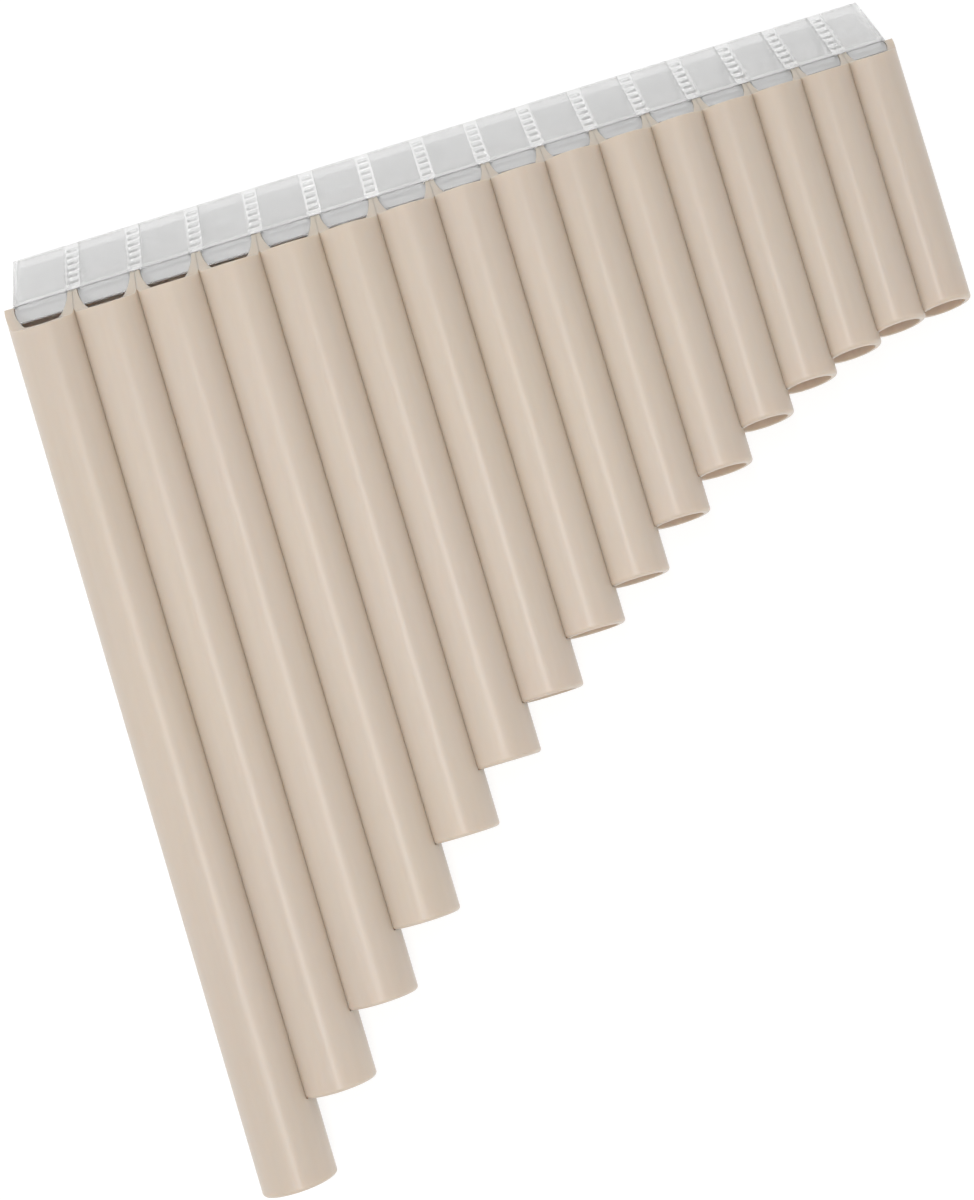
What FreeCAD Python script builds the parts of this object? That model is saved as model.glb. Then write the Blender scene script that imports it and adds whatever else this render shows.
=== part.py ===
import FreeCAD, Part
import os
import Sketcher

# Pan flute: sixteen tubes in a straight row, bonded side by side, each closed from below by a tuning
# stopper, with one clear mouthpiece pushed onto the top. The flute lies on its back. +X runs along the
# row from the longest pipe to the shortest, +Y runs up the pipes to the mouthpiece, and +Z is the front,
# where the windows are. The origin is under the middle of the whole, on the plane of the flat back.

PIPE_COUNT = 16
SEMITONES = (0, 2, 4, 5, 7, 9, 11, 12, 14, 16, 17, 19, 21, 23, 24, 26)  # C major from the lowest C
PIPE_LENGTHS = (175.9, 160.2, 146.7, 134.5, 121.3, 110.2, 100.5, 91.2,
                84.3, 75.8, 69.2, 62.7, 58.1, 55.0, 52.7, 51.6)

SIZES = {
    # pipes
    "pipe_count": PIPE_COUNT,
    "bore_first": 10.9,
    "bore_last": 7.7,
    "wall_first": 1.85,
    "wall_last": 1.4,
    "tail_round": 0.7,
    "socket_step": 0.2,
    "socket_depth": 2.0,
    # top of the pipes: the bevel that leaves the horns, and the lip at the front
    "horn_front": 0.5,
    "horn_slope": 1.5,
    "lip_reach": 3.0,
    "lip_drop_first": 7.2,
    "lip_drop_last": 3.9,
    # stoppers
    "lowest_pitch": 523.25,
    "sound_speed": 345000,
    "end_correction": 0.8,
    "stopper_length": 4.0,
    "stopper_clearance": 0.05,
    "stopper_ring": 1.0,
    "stopper_waist": 0.4,
    "rod_hole": 2.2,
    "rod_hole_depth": 2.2,
    # mouthpiece
    "back_depth": 13.3,
    "seat_gap": 0.1,
    "beak_front": 0.6,
    "beak_back": 9.4,
    "beak_rise": 12.8,
    "beak_round": 0.8,
    "roof_depth": 1.52,
    "windway_depth": 1.14,
    "windway_margin": 0.6,
    "tongue_first": 4.2,
    "tongue_last": 2.4,
    "tongue_recess": 0.3,
    "plug_depth": 0.8,
    "plug_clearance": 0.1,
    "core_back": 1.6,
    "core_depth": 4.1,
    "core_roof": 2.0,
    "rib_wall": 0.5,
    "rib_slot": 0.8,
    "rib_slot_pitch": 1.75,
    "rib_slot_count": 6,
}
SIZES.update({f"length_{n + 1:02d}": length for n, length in enumerate(PIPE_LENGTHS)})

MARGIN = 2.0  # how far a cutting shape stands past what it cuts

doc = FreeCAD.newDocument("pan_flute")
sheet = doc.addObject("Spreadsheet::Sheet", "Sizes")
for row, (alias, value) in enumerate(SIZES.items(), start=1):
    sheet.set(f"A{row}", alias)
    sheet.set(f"B{row}", str(value))
    sheet.setAlias(f"B{row}", alias)
doc.recompute()


class Size:
    """A number together with the sheet expression that drives it, so that both stay the same."""

    def __init__(self, value, text=None):
        self.value = value
        self.text = text or repr(value)

    def _with(self, sign, other, value):
        return Size(value, f"({self.text} {sign} {as_size(other).text})")

    def __add__(self, other):
        return self._with("+", other, self.value + as_size(other).value)

    def __sub__(self, other):
        return self._with("-", other, self.value - as_size(other).value)

    def __mul__(self, other):
        return self._with("*", other, self.value * as_size(other).value)

    def __truediv__(self, other):
        return self._with("/", other, self.value / as_size(other).value)

    def __neg__(self):
        return Size(-self.value, f"(0 - {self.text})")


def as_size(number):
    return number if isinstance(number, Size) else Size(number)


def cell(alias):
    return Size(SIZES[alias], f"Sizes.{alias}")


def bind(item, name, size):
    """Drives one property of an object, such as Radius or Placement.Base.x, from the sheet."""
    item.setExpression(name, as_size(size).text)


# Sizes that run evenly along the row. n counts from 0, and n + 0.5 lies between two pipes.


def tapered(name, n):
    first, last = cell(f"{name}_first"), cell(f"{name}_last")
    return first + (last - first) * n / (cell("pipe_count") - 1)


def bore_radius(n):
    return tapered("bore", n) / 2


def outer_radius(n):
    return bore_radius(n) + tapered("wall", n)


def seam(n, side):
    """From a pipe's axis to the middle of the wall that it shares with the next or the last pipe."""
    return bore_radius(n) + tapered("wall", n + side / 2) / 2


def length(n):
    return cell(f"length_{n + 1:02d}")


def centre_x(n):
    """Place of a pipe's axis, with the row's outer walls evenly about the origin."""
    last = PIPE_COUNT - 1
    pitch_first = cell("bore_first") + cell("wall_first")
    pitch_last = cell("bore_last") + cell("wall_last")
    from_first = pitch_first * n + (pitch_last - pitch_first) * (n * n / 2) / (cell("pipe_count") - 1)
    across = (pitch_first + pitch_last) * (last / 2)
    return from_first - (across + outer_radius(last) - outer_radius(0)) / 2


def lip_drop(n):
    """The window is taller on a longer pipe."""
    longest, shortest = length(0), length(PIPE_COUNT - 1)
    share = (length(n) - shortest) / (longest - shortest)
    return cell("lip_drop_last") + (cell("lip_drop_first") - cell("lip_drop_last")) * share


def stopper_depth(n):
    """From the top of the row to a stopper's face: a quarter wave below the lip, less the end correction."""
    quarter_wave = cell("sound_speed") / 4 / cell("lowest_pitch") / 2 ** (SEMITONES[n] / 12)
    return lip_drop(n) + quarter_wave - bore_radius(n) * cell("end_correction")


head_y = (cell("length_01") - cell("beak_rise")) / 2  # top of the pipes
axis_z = cell("back_depth")
beak_slope = cell("beak_rise") / (cell("beak_back") + cell("beak_front"))


def place(item, x, y):
    """Puts a sub-part's own origin at x, y on the plane of the pipes' axes."""
    for axis, size in (("x", x), ("y", y), ("z", axis_z)):
        bind(item, f"Placement.Base.{axis}", size)


def draw_outline(sketch, corners):
    """Draws a closed polygon and holds each corner by its driven distances from the sketch's origin."""
    start = sketch.GeometryCount
    count = len(corners)
    points = [FreeCAD.Vector(across.value, up.value, 0) for across, up in corners]
    for i in range(count):
        sketch.addGeometry(Part.LineSegment(points[i], points[(i + 1) % count]))
    for i in range(count):
        here, after = start + i, start + (i + 1) % count
        sketch.addConstraint(Sketcher.Constraint("Coincident", here, 2, after, 1))
    for i, (across, up) in enumerate(corners):
        for kind, axis, size in (("DistanceX", -2, across), ("DistanceY", -1, up)):
            if size.value == 0:
                sketch.addConstraint(Sketcher.Constraint("PointOnObject", start + i, 1, axis))
                continue
            held = Sketcher.Constraint(kind, -1, 1, start + i, 1, size.value)
            bind(sketch, f"Constraints[{sketch.addConstraint(held)}]", size)


def body_sketch(body, name, plane, corners):
    sketch = body.newObject("Sketcher::SketchObject", name)
    role = [item for item in body.Origin.OriginFeatures if item.Role == plane]
    sketch.AttachmentSupport = [(role[0], "")]
    sketch.MapMode = "FlatFace"
    draw_outline(sketch, corners)
    return sketch


def add_pocket(body, name, plane, corners, depth=None):
    """Cuts a polygon out of the body: to a depth from the plane, or right through both ways."""
    sketch = body_sketch(body, f"{name}_sketch", plane, corners)
    before = body.Tip.Shape.Volume
    pocket = body.newObject("PartDesign::Pocket", name)
    pocket.Profile = sketch
    if depth is None:
        pocket.Type = "ThroughAll"
        pocket.Midplane = True
    else:
        pocket.Reversed = True
        bind(pocket, "Length", depth)
    doc.recompute()
    if not pocket.Shape.Volume < before - 1:
        raise RuntimeError(f"{name} cut nothing")
    return pocket


def make_pipe(n):
    """One moulded tube: turned profile, rounded tail, flats where it is bonded, then the bevelled mouth."""
    body = doc.addObject("PartDesign::Body", f"pipe_{n + 1:02d}")
    body.Label = body.Name
    bore, outer = bore_radius(n), outer_radius(n)
    socket = bore + cell("socket_step")
    top, tail = Size(0), -length(n)
    socket_end = cell("socket_depth") - length(n)
    profile = body_sketch(body, "wall_section", "XY_Plane", [
        (bore, top), (outer, top), (outer, tail), (socket, tail), (socket, socket_end), (bore, socket_end)])
    tube = body.newObject("PartDesign::Revolution", "tube")
    tube.Profile = profile
    tube.ReferenceAxis = (profile, ["V_Axis"])
    tube.Angle = 360
    doc.recompute()

    rim = body.newObject("PartDesign::Fillet", "tail_rim")
    rim.Base = (tube, tail_edges(tube.Shape, outer.value, tail.value))
    bind(rim, "Radius", cell("tail_round"))
    doc.recompute()

    far = outer + MARGIN
    if n > 0:
        flat = -seam(n, -1)
        add_pocket(body, "left_flat", "XZ_Plane",
                   [(-far, -far), (flat, -far), (flat, far), (-far, far)], length(n))
    if n < PIPE_COUNT - 1:
        flat = seam(n, 1)
        add_pocket(body, "right_flat", "XZ_Plane",
                   [(flat, -far), (far, -far), (far, far), (flat, far)], length(n + 1))

    # Seen from the side: the horns' bevel runs down and forward, then the lip runs out to the front.
    corner_z = outer - cell("lip_reach")
    corner_y = -(corner_z - cell("horn_front")) * cell("horn_slope")
    above = Size(MARGIN)
    mouth = [(above, cell("horn_front") - above / cell("horn_slope")), (corner_y, corner_z),
             (-lip_drop(n), outer), (-lip_drop(n), far), (above, far)]
    add_pocket(body, "mouth", "YZ_Plane", mouth)
    place(body, centre_x(n), head_y)
    return body


def tail_edges(shape, radius, y):
    """Names of the round edges of one radius on the plane of the tail."""
    found = []
    for number, edge in enumerate(shape.Edges, start=1):
        box = edge.BoundBox
        flat = abs(box.YMin - y) < 0.01 and abs(box.YMax - y) < 0.01
        if flat and isinstance(edge.Curve, Part.Circle) and abs(edge.Curve.Radius - radius) < 0.01:
            found.append(f"Edge{number}")
    return found


def make_stopper(n):
    """A turned plug: a sealing ring at each end, a waist between them, and a hole for the tuning rod."""
    body = doc.addObject("PartDesign::Body", f"stopper_{n + 1:02d}")
    body.Label = body.Name
    ring = bore_radius(n) - cell("stopper_clearance")
    waist = ring - cell("stopper_waist")
    hole = cell("rod_hole") / 2
    face, rear = Size(0), -cell("stopper_length")
    ring_end, ring_start = -cell("stopper_ring"), rear + cell("stopper_ring")
    profile = body_sketch(body, "plug_section", "XY_Plane", [
        (face, face), (ring, face), (ring, ring_end), (waist, ring_end), (waist, ring_start),
        (ring, ring_start), (ring, rear), (hole, rear), (hole, rear + cell("rod_hole_depth")),
        (Size(0), rear + cell("rod_hole_depth"))])
    plug = body.newObject("PartDesign::Revolution", "plug")
    plug.Profile = profile
    plug.ReferenceAxis = (profile, ["V_Axis"])
    plug.Angle = 360
    place(body, centre_x(n), head_y - stopper_depth(n))
    return body


def extrude(name, sketch, across, start):
    """Draws a section out along +X, from start over a distance of across."""
    block = doc.addObject("Part::Extrusion", name)
    block.Base = sketch
    block.DirMode = "Custom"
    block.Dir = FreeCAD.Vector(1, 0, 0)
    block.Solid = True
    bind(block, "LengthFwd", across)
    bind(block, "Placement.Base.x", start)
    return block


def side_section(name, corners):
    """A polygon seen from the side: up the pipes is its first direction and the front its second."""
    sketch = doc.addObject("Sketcher::SketchObject", name)
    sketch.Placement = FreeCAD.Placement(
        FreeCAD.Vector(0, 0, 0), FreeCAD.Rotation(FreeCAD.Vector(1, 1, 1), 120))
    draw_outline(sketch, corners)
    return sketch


def fuse(name, shapes):
    joined = doc.addObject("Part::MultiFuse", name)
    joined.Shapes = shapes
    return joined


def cut(name, base, tool):
    left = doc.addObject("Part::Cut", name)
    left.Base, left.Tool = base, tool
    return left


def make_tongue(n, section):
    """What stands in one bore's mouth: a tongue between two horns, and a plug behind it."""
    peg = doc.addObject("Part::Cylinder", f"peg_{n + 1:02d}")
    bind(peg, "Radius", bore_radius(n) - cell("plug_clearance"))
    bind(peg, "Height", tapered("tongue", n) + cell("seat_gap") + MARGIN)
    peg.Placement.Rotation = FreeCAD.Rotation(FreeCAD.Vector(1, 0, 0), 90)
    bind(peg, "Placement.Base.x", centre_x(n))
    bind(peg, "Placement.Base.y", cell("seat_gap") + MARGIN)
    common = doc.addObject("Part::MultiCommon", f"tongue_{n + 1:02d}")
    common.Shapes = [peg, section]
    return common


def make_mouthpiece():
    """A wedge with a flat back. Each cell has a slanted windway, and a hollow cored out from below."""
    seat = cell("seat_gap")
    back, front, rise = -cell("back_depth"), cell("beak_front"), cell("beak_rise")
    row_start = centre_x(0) - bore_radius(0)
    row_end = centre_x(PIPE_COUNT - 1) + bore_radius(PIPE_COUNT - 1)
    across = row_end - row_start

    wedge = extrude("wedge", side_section("wedge_section", [
        (seat, front), (rise, -cell("beak_back")), (rise, back), (seat, back)]), across, row_start)
    doc.recompute()
    rounded = doc.addObject("Part::Fillet", "rounded_beak")
    rounded.Base = wedge
    rounded.Edges = [(number, SIZES["beak_round"], SIZES["beak_round"])
                     for number, edge in enumerate(wedge.Shape.Edges, start=1)
                     if edge.BoundBox.YMin > rise.value - 0.01 and edge.BoundBox.XLength > 1]

    # A windway lies under the sloping front: roof_depth and windway_depth are measured level.
    reach = Size(MARGIN)
    low, high = -cell("tongue_first") - reach, rise + reach
    roof, floor = front - cell("roof_depth"), front - cell("roof_depth") - cell("windway_depth")
    windway_section = side_section("windway_section", [
        (low, roof - low / beak_slope), (low, floor - low / beak_slope),
        (high, floor - high / beak_slope), (high, roof - high / beak_slope)])

    # Between two horns the windway's roof runs on down as a thin tongue, a little behind the bevel. Behind
    # the windway a shallow plug finds the bore. The line between the two runs inside the windway.
    face, middle = cell("horn_front") - cell("tongue_recess"), (roof + floor) / 2
    plug_end, above = -cell("plug_depth"), seat + reach
    tongue_section = side_section("tongue_section", [
        (plug_end, back), (above, back), (above, face - above / beak_slope), (Size(0), face),
        (low, face - low / cell("horn_slope")), (low, middle - low / beak_slope),
        (plug_end, middle - plug_end / beak_slope)])
    tongue_bar = extrude("tongue_bar", tongue_section, across, row_start)
    tongues = [make_tongue(n, tongue_bar) for n in range(PIPE_COUNT)]
    solid = fuse("mouthpiece_solid", [rounded, *tongues])

    core_back, core_front = back + cell("core_back"), back + cell("core_back") + cell("core_depth")
    core_section = side_section("core_section", [
        (-reach, core_back), (-reach, core_front),
        ((floor - core_front) * beak_slope - cell("core_roof"), core_front),
        ((floor - core_back) * beak_slope - cell("core_roof"), core_back)])
    hollows = []
    for n in range(PIPE_COUNT):
        half = bore_radius(n) - cell("windway_margin")
        for kind, section in (("windway", windway_section), ("core", core_section)):
            hollows.append(extrude(f"{kind}_{n + 1:02d}", section, half * 2, centre_x(n) - half))
    hollows += rib_slots(roof)

    body = cut("mouthpiece", solid, fuse("mouthpiece_hollows", hollows))
    place(body, Size(0), head_y)
    return body


def rib_slots(roof):
    """A ladder of core slots in each rib, from the flat back to a skin behind the sloping front."""
    slots = []
    height = cell("rib_slot")
    for n in range(PIPE_COUNT - 1):
        width = tapered("wall", n + 0.5) + (cell("windway_margin") - cell("rib_wall")) * 2
        for level in range(SIZES["rib_slot_count"]):
            middle = cell("rib_slot_pitch") * (level + 1)
            slot = doc.addObject("Part::Box", f"rib_slot_{n + 1:02d}_{level + 1}")
            bind(slot, "Length", width)
            bind(slot, "Width", height)
            bind(slot, "Height", cell("back_depth") + roof - (middle + height / 2) / beak_slope)
            bind(slot, "Placement.Base.x", centre_x(n) + seam(n, 1) - width / 2)
            bind(slot, "Placement.Base.y", middle - height / 2)
            bind(slot, "Placement.Base.z", -cell("back_depth"))
            slots.append(slot)
    return slots


def check_document(parts):
    """Stops on any feature that failed, and on any sub-part that isn't one good solid."""
    for item in doc.Objects:
        if {"Invalid", "Error"} & set(item.State):
            raise RuntimeError(f"{item.Name} failed: {item.State}")
    for part in parts:
        if part.Shape.isNull() or not part.Shape.isValid() or len(part.Shape.Solids) != 1:
            raise RuntimeError(f"{part.Label} isn't one valid solid")


pipes = [make_pipe(n) for n in range(PIPE_COUNT)]
stoppers = [make_stopper(n) for n in range(PIPE_COUNT)]
parts = [*pipes, *stoppers, make_mouthpiece()]
doc.recompute()
check_document(parts)

os.makedirs("parts", exist_ok=True)
for part in parts:
    part.Shape.exportStep(f"parts/{part.Label}.step")
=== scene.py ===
from math import cos, radians, sin, tau

import bpy
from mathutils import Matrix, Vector


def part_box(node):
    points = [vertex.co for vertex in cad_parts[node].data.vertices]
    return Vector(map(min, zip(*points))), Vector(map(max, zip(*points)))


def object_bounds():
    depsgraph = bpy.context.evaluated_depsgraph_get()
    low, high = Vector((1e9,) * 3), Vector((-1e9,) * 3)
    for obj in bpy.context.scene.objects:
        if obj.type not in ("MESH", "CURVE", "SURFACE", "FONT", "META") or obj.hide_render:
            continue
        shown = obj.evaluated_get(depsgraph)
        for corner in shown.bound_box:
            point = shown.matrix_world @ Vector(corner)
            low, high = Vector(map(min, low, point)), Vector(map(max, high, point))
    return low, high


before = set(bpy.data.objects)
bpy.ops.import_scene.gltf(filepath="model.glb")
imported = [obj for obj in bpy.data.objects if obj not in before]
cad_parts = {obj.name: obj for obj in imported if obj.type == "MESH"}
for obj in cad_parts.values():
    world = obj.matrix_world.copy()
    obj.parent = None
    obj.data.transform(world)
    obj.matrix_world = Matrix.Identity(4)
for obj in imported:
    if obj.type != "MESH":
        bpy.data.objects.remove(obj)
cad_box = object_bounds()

# The flute lies on its back: +X runs along the row from the longest pipe to the shortest, +Y runs up the
# pipes to the mouthpiece, and +Z is the front. Lengths are in metres.

MM = 0.001
PIPES = sorted(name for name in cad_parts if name.startswith("pipe_"))
STOPPERS = sorted(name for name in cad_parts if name.startswith("stopper_"))

low, high = (Vector(corner) for corner in cad_box)
middle = (low + high) / 2
head_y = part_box("pipe_01")[1][1]  # where the pipes end and the mouthpiece sits on them


# ---------------------------------------------------------------- camera


def make_camera():
    """Looks down on the flute from 30 cm above it, a little nearer to the tails than to the mouthpiece."""
    camera = bpy.data.objects.new("camera", bpy.data.cameras.new("camera"))
    bpy.context.scene.collection.objects.link(camera)
    camera.location = (-10.1 * MM, -30.2 * MM, 300.4 * MM)
    camera.rotation_euler = (radians(0.38), radians(1.47), radians(-16.57))
    camera.data.lens = 45.41
    camera.data.shift_x = -0.03
    camera.data.shift_y = 0.12
    camera.data.clip_start = 1 * MM
    bpy.context.scene.camera = camera


# ---------------------------------------------------------------- shading helpers


def srgb(code):
    """The linear colour of a hex code such as #D3C3B4."""
    channels = [int(code[i:i + 2], 16) / 255 for i in (1, 3, 5)]
    linear = [c / 12.92 if c <= 0.04045 else ((c + 0.055) / 1.055) ** 2.4 for c in channels]
    return (*linear, 1)


def per(size):
    """The scale that makes a texture's features about this many metres across."""
    return 1 / size


def add(tree, kind, inputs=None, **settings):
    """Adds a node. Each input is given a value, an output, or a node whose first output feeds it."""
    node = tree.nodes.new(kind)
    for name, value in settings.items():
        setattr(node, name, value)
    for name, value in (inputs or {}).items():
        socket = next(s for s in node.inputs if s.name == name and s.enabled)
        if isinstance(value, bpy.types.Node):
            value = next(s for s in value.outputs if s.enabled)
        if isinstance(value, bpy.types.NodeSocket):
            tree.links.new(value, socket)
        else:
            socket.default_value = value
    return node


def new_material(name):
    """An empty material, its node tree, and the place of each point, which its patterns are drawn in."""
    material = bpy.data.materials.new(name)
    material.use_nodes = True
    tree = material.node_tree
    tree.nodes.clear()
    return material, tree, add(tree, "ShaderNodeTexCoord").outputs["Object"]


def finish_material(tree, shader):
    add(tree, "ShaderNodeOutputMaterial", {"Surface": shader})


# ---------------------------------------------------------------- materials


def moulded_abs():
    """ABS, injection moulded in beige and left as it comes from a fine-ground tool. It gives the eye an
    even, slightly warm satin skin: soft highlights that run the length of a pipe and waver a little, faint
    flow lines along it, and painted ochre shade where the pipes meet."""
    material, tree, place = new_material("abs_moulded_beige")
    flow_spacing = 3.5 * MM
    flow_stretch = 0.04
    cloud_size = 28 * MM
    valley_reach = 1.6 * MM
    edge_radius = 0.2 * MM

    # The melt runs up the pipe, so its lines are long in Y.
    along = add(tree, "ShaderNodeMapping", {"Vector": place, "Scale": (1, flow_stretch, 1)})
    flow = add(tree, "ShaderNodeTexNoise", {
        "Vector": along, "Scale": per(flow_spacing), "Detail": 4.0, "Roughness": 0.55})
    cloud = add(tree, "ShaderNodeTexNoise", {
        "Vector": place, "Scale": per(cloud_size), "Detail": 2.0})

    warm = add(tree, "ShaderNodeMix", {
        "Factor": cloud, "A": srgb("#CDBFB2"), "B": srgb("#CEC0AF")}, data_type="RGBA")
    lines = add(tree, "ShaderNodeMapRange", {
        "Value": flow, "From Min": 0.3, "From Max": 0.7, "To Min": 0.975, "To Max": 1.025})
    body = add(tree, "ShaderNodeMix", {
        "Factor": 1.0, "A": warm, "B": lines}, data_type="RGBA", blend_type="MULTIPLY")

    # Painted shade: where ambient occlusion finds the valley between two pipes, the colour is darkened
    # towards ochre.
    valley = add(tree, "ShaderNodeAmbientOcclusion", {"Distance": valley_reach}, samples=8)
    painted_valley_shade = add(tree, "ShaderNodeMapRange", {
        "Value": valley.outputs["AO"], "From Min": 0.25, "From Max": 0.8, "To Min": 0.28, "To Max": 0.0})
    colour = add(tree, "ShaderNodeMix", {
        "Factor": painted_valley_shade, "A": body, "B": srgb("#B59A76")}, data_type="RGBA")

    # The tool's grain is really under a tenth of this size, and is drawn coarser so that it shows.
    grain_size = 0.35 * MM
    grain = add(tree, "ShaderNodeTexNoise", {
        "Vector": place, "Scale": per(grain_size), "Detail": 3.0})
    gloss = add(tree, "ShaderNodeMapRange", {
        "Value": flow, "From Min": 0.3, "From Max": 0.7, "To Min": 0.30, "To Max": 0.38})

    # A slightly soft edge, then the shallow sink of the flow lines, then the grain.
    edge = add(tree, "ShaderNodeBevel", {"Radius": edge_radius}, samples=4)
    sink = add(tree, "ShaderNodeBump", {
        "Height": flow, "Strength": 0.25, "Distance": 0.08 * MM, "Normal": edge})
    skin = add(tree, "ShaderNodeBump", {
        "Height": grain, "Strength": 0.12, "Distance": 0.01 * MM, "Normal": sink})

    # A little light goes into the plastic and comes out warmer, which softens the shade in the valleys.
    finish_material(tree, add(tree, "ShaderNodeBsdfPrincipled", {
        "Base Color": colour, "Roughness": gloss, "Normal": skin, "IOR": 1.53,
        "Subsurface Weight": 0.5, "Subsurface Radius": (1.0, 0.75, 0.55), "Subsurface Scale": 2.5 * MM}))
    return material


def moulded_polystyrene():
    """Clear polystyrene, injection moulded in a polished tool. It gives the eye bright, dark-edged glass
    with faint level lines across it where the melt slowed, and a slight bloom from breath and handling.
    The tongues between the horns are less clear and whiter, which paints light over the shade seen through
    them."""
    material, tree, place = new_material("polystyrene_moulded_clear")
    ripple_spacing = 2.2 * MM
    ripple_stretch = 0.12
    bloom_size = 4.5 * MM
    tongue_paling_reach = 2 * MM

    # The mouthpiece fills along the row, so its ripples are long in X.
    across = add(tree, "ShaderNodeMapping", {"Vector": place, "Scale": (ripple_stretch, 1, 1)})
    ripple = add(tree, "ShaderNodeTexNoise", {
        "Vector": across, "Scale": per(ripple_spacing), "Detail": 3.0, "Roughness": 0.6})
    wave = add(tree, "ShaderNodeBump", {"Height": ripple, "Strength": 0.35, "Distance": 0.06 * MM})

    bloom = add(tree, "ShaderNodeTexNoise", {
        "Vector": place, "Scale": per(bloom_size), "Detail": 4.0})
    haze = add(tree, "ShaderNodeMapRange", {
        "Value": bloom, "From Min": 0.35, "From Max": 0.7, "To Min": 0.06, "To Max": 0.2})
    # Painted light: below the head line the tongues are made less clear, and so whiter, which lightens the
    # shade of the bore seen through them.
    up_the_pipes = add(tree, "ShaderNodeSeparateXYZ", {"Vector": place}).outputs["Y"]
    clear = add(tree, "ShaderNodeMapRange", {
        "Value": up_the_pipes, "From Min": head_y - tongue_paling_reach, "From Max": head_y + tongue_paling_reach,
        "To Min": 0.6, "To Max": 0.81})

    finish_material(tree, add(tree, "ShaderNodeBsdfPrincipled", {
        "Base Color": srgb("#FFFFFF"), "Roughness": haze,
        "Normal": wave, "IOR": 1.59, "Transmission Weight": clear}))
    return material


def moulded_silicone():
    """Silicone rubber, compression moulded. It gives the eye a dull, slightly dusty skin with no clear
    highlight, and the fine orange-peel that soft rubber takes from its tool."""
    material, tree, place = new_material("silicone_moulded_tan")
    peel_size = 0.5 * MM
    dust_size = 2.5 * MM
    peel = add(tree, "ShaderNodeTexNoise", {
        "Vector": place, "Scale": per(peel_size), "Detail": 3.0})
    dust = add(tree, "ShaderNodeTexNoise", {
        "Vector": place, "Scale": per(dust_size), "Detail": 5.0})
    colour = add(tree, "ShaderNodeMix", {
        "Factor": dust, "A": srgb("#A58C6D"), "B": srgb("#B7A285")}, data_type="RGBA")
    dull = add(tree, "ShaderNodeMapRange", {"Value": dust, "To Min": 0.5, "To Max": 0.7})
    pit = add(tree, "ShaderNodeBump", {"Height": peel, "Strength": 0.3, "Distance": 0.03 * MM})
    finish_material(tree, add(tree, "ShaderNodeBsdfPrincipled", {
        "Base Color": colour, "Roughness": dull,
        "Normal": pit, "IOR": 1.41, "Sheen Weight": 0.15}))
    return material


def light_table():
    """Opal acrylic, cast and lit from below. It gives the eye a clean white surface with hardly a shadow."""
    material, tree, place = new_material("acrylic_cast_opal")
    cloud_size = 60 * MM
    cloud = add(tree, "ShaderNodeTexNoise", {"Vector": place, "Scale": per(cloud_size), "Detail": 3.0})
    colour = add(tree, "ShaderNodeMix", {
        "Factor": cloud, "A": srgb("#F7F7F7"), "B": srgb("#FBFBFA")}, data_type="RGBA")
    finish_material(tree, add(tree, "ShaderNodeBsdfPrincipled", {
        "Base Color": srgb("#8C8C8C"), "Roughness": 0.9, "Specular IOR Level": 0.1,
        "Emission Color": colour, "Emission Strength": 0.85}))
    return material


def dress(names, material):
    """Gives each named node this material and no other."""
    for name in names:
        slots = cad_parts[name].data.materials
        slots.clear()
        slots.append(material)


# ---------------------------------------------------------------- studio


def make_floor():
    """A round table top, so wide that its edge is lost in the distance, just under the flute."""
    radius = 40.0
    corners = 128
    gap = 0.2 * MM
    mesh = bpy.data.meshes.new("floor")
    turns = [tau * step / corners for step in range(corners)]
    mesh.from_pydata([(radius * cos(turn), radius * sin(turn), 0) for turn in turns], [], [range(corners)])
    floor = bpy.data.objects.new("floor", mesh)
    bpy.context.scene.collection.objects.link(floor)
    floor.location.z = low.z - gap
    floor.data.materials.append(light_table())


def add_softbox(name, place, width, depth, power, aim=middle):
    """A flat lamp that faces aim, and that the camera doesn't see."""
    light = bpy.data.lights.new(name, "AREA")
    light.shape = "RECTANGLE"
    light.size, light.size_y = width, depth
    light.energy = power
    lamp = bpy.data.objects.new(name, light)
    bpy.context.scene.collection.objects.link(lamp)
    lamp.location = place
    lamp.rotation_euler = (aim - Vector(place)).to_track_quat("-Z", "Y").to_euler()
    lamp.visible_camera = False


def light_studio():
    """An even white room, a wide softbox from the left, and a narrow one that draws the long highlights."""
    world = bpy.data.worlds.new("room")
    bpy.context.scene.world = world
    world.use_nodes = True
    background = world.node_tree.nodes["Background"]
    background.inputs["Color"].default_value = srgb("#FFFFFF")
    background.inputs["Strength"].default_value = 0.62
    add_softbox("softbox_left", place=(-0.32, 0.18, 0.34), width=0.45, depth=0.6, power=0.44)
    under_strip = Vector((-0.03, -0.04, 0))
    strip_height = Vector((0, 0, 0.37))
    add_softbox("strip_above", place=under_strip + strip_height, width=0.05, depth=0.42, power=0.55,
                aim=under_strip)
    bpy.context.scene.view_settings.view_transform = "Standard"  # keeps the white table white


make_camera()
make_floor()
light_studio()
dress(PIPES, moulded_abs())
dress(STOPPERS, moulded_silicone())
dress(["mouthpiece"], moulded_polystyrene())
